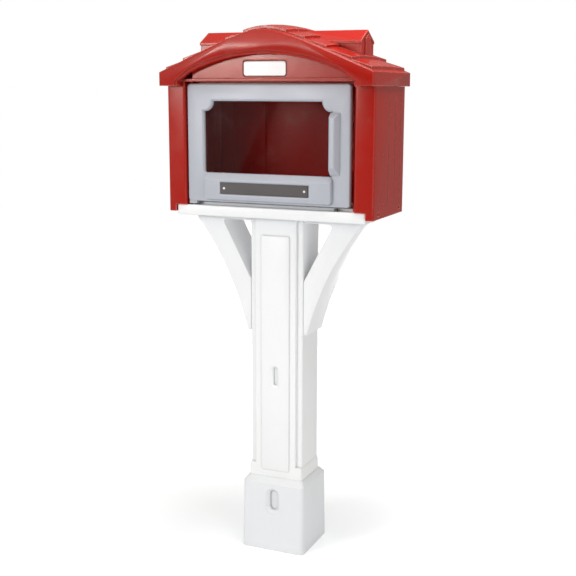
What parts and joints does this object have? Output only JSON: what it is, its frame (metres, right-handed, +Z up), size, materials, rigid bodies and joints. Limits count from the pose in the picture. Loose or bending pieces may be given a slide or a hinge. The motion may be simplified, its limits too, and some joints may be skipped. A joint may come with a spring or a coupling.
{
  "type": "street book exchange box",
  "caption": "House-shaped book box with a shingled arched roof and a side-hinged window door, on a braced post sleeve.",
  "frame": {"origin": "on the ground, under the middle of the whole object's box", "axes": "+Z up, the door faces -Y, and +X is to the right of a person who faces the door"},
  "size_m": [0.652, 0.335, 1.577],
  "materials": {
    "white_plastic": "satin",
    "red_plastic": "satin, mottled moulded grain",
    "grey_plastic": "satin",
    "plate_plastic": "satin",
    "badge_plastic": "gloss",
    "clear_sheet": "clear",
    "steel": "zinc plated",
    "dark_plastic": "matt",
    "magnet": "matt"
  },
  "bodies": {
    "box": {"base_collar": "white_plastic", "post_sleeve": "white_plastic", "left_brace": "white_plastic", "right_brace": "white_plastic", "platform": "white_plastic", "box_shell": "red_plastic", "roof": "red_plastic", "badge_plate": "badge_plastic", "upper_hinge_pin": "red_plastic", "lower_hinge_pin": "steel", "hinge_washer": "dark_plastic", "catch_keeper": "dark_plastic", "platform_screw_1": "steel", "platform_screw_2": "steel", "platform_screw_3": "steel", "platform_screw_4": "steel", "brace_screw_1": "steel", "brace_screw_2": "steel", "brace_screw_3": "steel", "brace_screw_4": "steel", "skirt_screw_1": "steel", "skirt_screw_2": "steel", "skirt_screw_3": "steel", "skirt_screw_4": "steel", "roof_screw_1": "steel", "roof_screw_2": "steel", "roof_screw_3": "steel", "roof_screw_4": "steel"},
    "door": {"door_frame": "grey_plastic", "window_pane": "clear_sheet", "name_plate": "plate_plastic", "door_magnet": "magnet", "pane_screw_1": "steel", "pane_screw_2": "steel", "pane_screw_3": "steel", "pane_screw_4": "steel", "pane_screw_5": "steel", "pane_screw_6": "steel"}
  },
  "joints": [
    {"name": "door_hinge", "type": "hinge", "parent": "box", "child": "door", "pos_m": [-0.248, -0.112, 1.2418], "axis": [0, 0, -1], "range_deg": [0, 98]}
  ]
}
